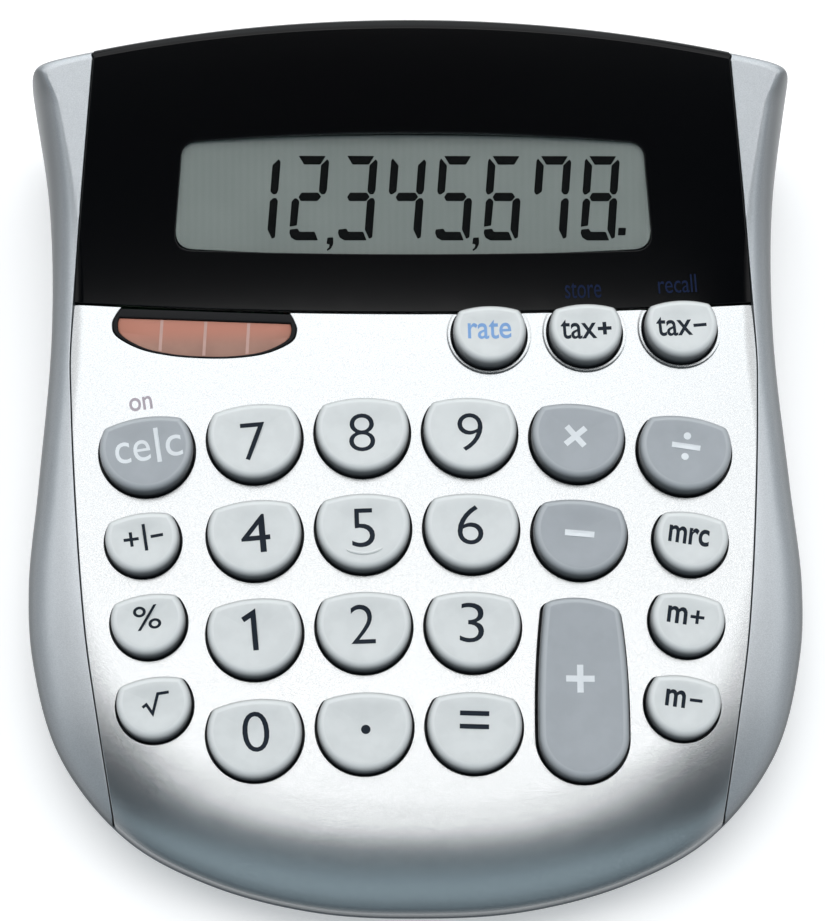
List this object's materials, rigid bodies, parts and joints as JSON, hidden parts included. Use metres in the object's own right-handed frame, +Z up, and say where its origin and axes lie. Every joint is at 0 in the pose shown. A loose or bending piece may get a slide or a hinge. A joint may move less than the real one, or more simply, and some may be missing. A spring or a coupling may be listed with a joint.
{
  "type": "desktop calculator",
  "caption": "Desktop calculator with a raised tilted display, a solar cell in a shaped pocket and sprung keys that press square to a gently curved face.",
  "frame": {"origin": "middle of the footprint on the surface that the feet stand on", "axes": "+X to the user's right, +Y away from the user towards the display, +Z up"},
  "size_m": [0.1248, 0.1459, 0.034],
  "materials": {
    "case_plastic": "satin grey moulded plastic",
    "silver_cover": "silver lacquer with a satin metallic sheen on moulded plastic",
    "cheek_plastic": "darker silver lacquer with a satin metallic sheen on moulded plastic",
    "gloss_black": "high gloss black plastic",
    "clear_window": "clear polished plastic",
    "lcd": "grey green liquid crystal glass",
    "dark_frame": "dark matt plastic",
    "ribbon": "flexible film with conductors",
    "solar": "copper brown photovoltaic glass",
    "keypad_rubber": "matt moulded rubber",
    "board": "green solder mask on laminate",
    "resin": "black potting resin",
    "cell_steel": "plated steel can",
    "contact_brass": "bright sprung strip",
    "key_light": "light grey satin plastic",
    "key_grey": "mid grey satin plastic",
    "screw_steel": "plated steel",
    "foot_rubber": "matt black rubber"
  },
  "bodies": {
    "housing": {"bottom_case": "case_plastic", "top_cover": "silver_cover", "display_bezel": "gloss_black", "left_cheek": "cheek_plastic", "right_cheek": "cheek_plastic", "display_window": "clear_window", "lcd_panel": "lcd", "lcd_frame": "dark_frame", "lcd_ribbon": "ribbon", "solar_tray": "dark_frame", "solar_cell": "solar", "rubber_keypad": "keypad_rubber", "circuit_board": "board", "chip_blob": "resin", "button_cell": "cell_steel", "battery_contact_upper": "contact_brass", "battery_contact_side": "contact_brass", "battery_cover": "case_plastic", "case_screw_1": "screw_steel", "case_screw_2": "screw_steel", "case_screw_3": "screw_steel", "case_screw_4": "screw_steel", "case_screw_5": "screw_steel", "case_screw_6": "screw_steel", "board_screw_1": "screw_steel", "board_screw_2": "screw_steel", "board_screw_3": "screw_steel", "board_screw_4": "screw_steel", "battery_cover_screw": "screw_steel", "foot_1": "foot_rubber", "foot_2": "foot_rubber", "foot_3": "foot_rubber", "foot_4": "foot_rubber"},
    "key_7_cap": {"key_7": "key_light"},
    "key_8_cap": {"key_8": "key_light"},
    "key_9_cap": {"key_9": "key_light"},
    "key_4_cap": {"key_4": "key_light"},
    "key_5_cap": {"key_5": "key_light"},
    "key_6_cap": {"key_6": "key_light"},
    "key_1_cap": {"key_1": "key_light"},
    "key_2_cap": {"key_2": "key_light"},
    "key_3_cap": {"key_3": "key_light"},
    "key_0_cap": {"key_0": "key_light"},
    "key_point_cap": {"key_point": "key_light"},
    "key_equals_cap": {"key_equals": "key_light"},
    "key_clear_cap": {"key_clear": "key_grey"},
    "key_multiply_cap": {"key_multiply": "key_grey"},
    "key_divide_cap": {"key_divide": "key_grey"},
    "key_minus_cap": {"key_minus": "key_grey"},
    "key_sign_cap": {"key_sign": "key_light"},
    "key_percent_cap": {"key_percent": "key_light"},
    "key_root_cap": {"key_root": "key_light"},
    "key_memory_recall_cap": {"key_memory_recall": "key_light"},
    "key_memory_add_cap": {"key_memory_add": "key_light"},
    "key_memory_subtract_cap": {"key_memory_subtract": "key_light"},
    "key_rate_cap": {"key_rate": "key_light"},
    "key_tax_add_cap": {"key_tax_add": "key_light"},
    "key_tax_subtract_cap": {"key_tax_subtract": "key_light"},
    "key_plus_cap": {"key_plus": "key_grey"}
  },
  "joints": [
    {"name": "key_7_press", "type": "slide", "parent": "housing", "child": "key_7_cap", "axis": [0.0286, 0.0743, -0.9968], "range_m": [0, 0.0014], "stiffness_N_per_m": 500, "springref_m": -0.0005, "deforming": ["rubber_keypad"]},
    {"name": "key_8_press", "type": "slide", "parent": "housing", "child": "key_8_cap", "axis": [0.0095, 0.073, -0.9973], "range_m": [0, 0.0014], "stiffness_N_per_m": 500, "springref_m": -0.0005, "deforming": ["rubber_keypad"]},
    {"name": "key_9_press", "type": "slide", "parent": "housing", "child": "key_9_cap", "axis": [-0.0095, 0.073, -0.9973], "range_m": [0, 0.0014], "stiffness_N_per_m": 500, "springref_m": -0.0005, "deforming": ["rubber_keypad"]},
    {"name": "key_4_press", "type": "slide", "parent": "housing", "child": "key_4_cap", "axis": [0.0285, 0.0971, -0.9949], "range_m": [0, 0.0014], "stiffness_N_per_m": 500, "springref_m": -0.0005, "deforming": ["rubber_keypad"]},
    {"name": "key_5_press", "type": "slide", "parent": "housing", "child": "key_5_cap", "axis": [0.0095, 0.0958, -0.9954], "range_m": [0, 0.0014], "stiffness_N_per_m": 500, "springref_m": -0.0005, "deforming": ["rubber_keypad"]},
    {"name": "key_6_press", "type": "slide", "parent": "housing", "child": "key_6_cap", "axis": [-0.0095, 0.0958, -0.9954], "range_m": [0, 0.0014], "stiffness_N_per_m": 500, "springref_m": -0.0005, "deforming": ["rubber_keypad"]},
    {"name": "key_1_press", "type": "slide", "parent": "housing", "child": "key_1_cap", "axis": [0.0285, 0.1197, -0.9924], "range_m": [0, 0.0014], "stiffness_N_per_m": 500, "springref_m": -0.0005, "deforming": ["rubber_keypad"]},
    {"name": "key_2_press", "type": "slide", "parent": "housing", "child": "key_2_cap", "axis": [0.0095, 0.1184, -0.9929], "range_m": [0, 0.0014], "stiffness_N_per_m": 500, "springref_m": -0.0005, "deforming": ["rubber_keypad"]},
    {"name": "key_3_press", "type": "slide", "parent": "housing", "child": "key_3_cap", "axis": [-0.0095, 0.1184, -0.9929], "range_m": [0, 0.0014], "stiffness_N_per_m": 500, "springref_m": -0.0005, "deforming": ["rubber_keypad"]},
    {"name": "key_0_press", "type": "slide", "parent": "housing", "child": "key_0_cap", "axis": [0.0284, 0.1421, -0.9894], "range_m": [0, 0.0014], "stiffness_N_per_m": 500, "springref_m": -0.0005, "deforming": ["rubber_keypad"]},
    {"name": "key_point_press", "type": "slide", "parent": "housing", "child": "key_point_cap", "axis": [0.0095, 0.1409, -0.99], "range_m": [0, 0.0014], "stiffness_N_per_m": 500, "springref_m": -0.0005, "deforming": ["rubber_keypad"]},
    {"name": "key_equals_press", "type": "slide", "parent": "housing", "child": "key_equals_cap", "axis": [-0.0095, 0.1409, -0.99], "range_m": [0, 0.0014], "stiffness_N_per_m": 500, "springref_m": -0.0005, "deforming": ["rubber_keypad"]},
    {"name": "key_clear_press", "type": "slide", "parent": "housing", "child": "key_clear_cap", "axis": [0.0476, 0.0769, -0.9959], "range_m": [0, 0.0014], "stiffness_N_per_m": 500, "springref_m": -0.0005, "deforming": ["rubber_keypad"]},
    {"name": "key_multiply_press", "type": "slide", "parent": "housing", "child": "key_multiply_cap", "axis": [-0.0286, 0.0743, -0.9968], "range_m": [0, 0.0014], "stiffness_N_per_m": 500, "springref_m": -0.0005, "deforming": ["rubber_keypad"]},
    {"name": "key_divide_press", "type": "slide", "parent": "housing", "child": "key_divide_cap", "axis": [-0.0476, 0.0769, -0.9959], "range_m": [0, 0.0014], "stiffness_N_per_m": 500, "springref_m": -0.0005, "deforming": ["rubber_keypad"]},
    {"name": "key_minus_press", "type": "slide", "parent": "housing", "child": "key_minus_cap", "axis": [-0.0285, 0.0971, -0.9949], "range_m": [0, 0.0014], "stiffness_N_per_m": 500, "springref_m": -0.0005, "deforming": ["rubber_keypad"]},
    {"name": "key_sign_press", "type": "slide", "parent": "housing", "child": "key_sign_cap", "axis": [0.0481, 0.098, -0.994], "range_m": [0, 0.0014], "stiffness_N_per_m": 500, "springref_m": -0.0005, "deforming": ["rubber_keypad"]},
    {"name": "key_percent_press", "type": "slide", "parent": "housing", "child": "key_percent_cap", "axis": [0.0469, 0.1167, -0.9921], "range_m": [0, 0.0014], "stiffness_N_per_m": 500, "springref_m": -0.0005, "deforming": ["rubber_keypad"]},
    {"name": "key_root_press", "type": "slide", "parent": "housing", "child": "key_root_cap", "axis": [0.0457, 0.1353, -0.9897], "range_m": [0, 0.0014], "stiffness_N_per_m": 500, "springref_m": -0.0005, "deforming": ["rubber_keypad"]},
    {"name": "key_memory_recall_press", "type": "slide", "parent": "housing", "child": "key_memory_recall_cap", "axis": [-0.0481, 0.098, -0.994], "range_m": [0, 0.0014], "stiffness_N_per_m": 500, "springref_m": -0.0005, "deforming": ["rubber_keypad"]},
    {"name": "key_memory_add_press", "type": "slide", "parent": "housing", "child": "key_memory_add_cap", "axis": [-0.0469, 0.1167, -0.9921], "range_m": [0, 0.0014], "stiffness_N_per_m": 500, "springref_m": -0.0005, "deforming": ["rubber_keypad"]},
    {"name": "key_memory_subtract_press", "type": "slide", "parent": "housing", "child": "key_memory_subtract_cap", "axis": [-0.0457, 0.1353, -0.9897], "range_m": [0, 0.0014], "stiffness_N_per_m": 500, "springref_m": -0.0005, "deforming": ["rubber_keypad"]},
    {"name": "key_rate_press", "type": "slide", "parent": "housing", "child": "key_rate_cap", "axis": [-0.0134, 0.049, -0.9987], "range_m": [0, 0.0014], "stiffness_N_per_m": 500, "springref_m": -0.0005, "deforming": ["rubber_keypad"]},
    {"name": "key_tax_add_press", "type": "slide", "parent": "housing", "child": "key_tax_add_cap", "axis": [-0.0306, 0.0482, -0.9984], "range_m": [0, 0.0014], "stiffness_N_per_m": 500, "springref_m": -0.0005, "deforming": ["rubber_keypad"]},
    {"name": "key_tax_subtract_press", "type": "slide", "parent": "housing", "child": "key_tax_subtract_cap", "axis": [-0.0477, 0.0469, -0.9978], "range_m": [0, 0.0014], "stiffness_N_per_m": 500, "springref_m": -0.0005, "deforming": ["rubber_keypad"]},
    {"name": "key_plus_press", "type": "slide", "parent": "housing", "child": "key_plus_cap", "axis": [-0.0283, 0.1328, -0.9907], "range_m": [0, 0.0014], "stiffness_N_per_m": 500, "springref_m": -0.0005, "deforming": ["rubber_keypad"]}
  ]
}
